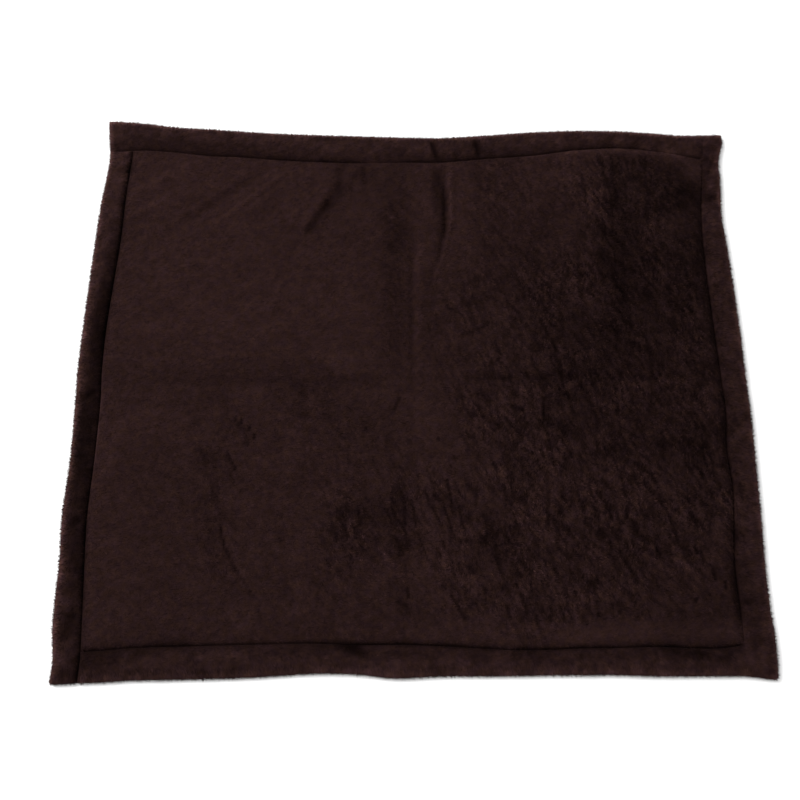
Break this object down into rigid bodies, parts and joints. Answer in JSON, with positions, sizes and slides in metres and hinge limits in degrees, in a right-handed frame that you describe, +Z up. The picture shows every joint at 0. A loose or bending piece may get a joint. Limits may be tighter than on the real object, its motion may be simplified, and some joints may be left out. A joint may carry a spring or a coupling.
{
  "type": "cat scratching mat",
  "caption": "Rectangular plush pet mat, lightly padded and lying flat, with a puffed border marked off by a sunken line of stitching.",
  "frame": {"origin": "on the surface the mat lies on, under the middle of the mat", "axes": "+X along the mat's width, +Y along its depth away from the viewer, +Z up"},
  "size_m": [0.6262, 0.562, 0.0127],
  "materials": {
    "plush": "dark chocolate-brown short plush pile, matte with a faint sheen"
  },
  "bodies": {
    "root": {"mat": "plush"}
  },
  "joints": []
}
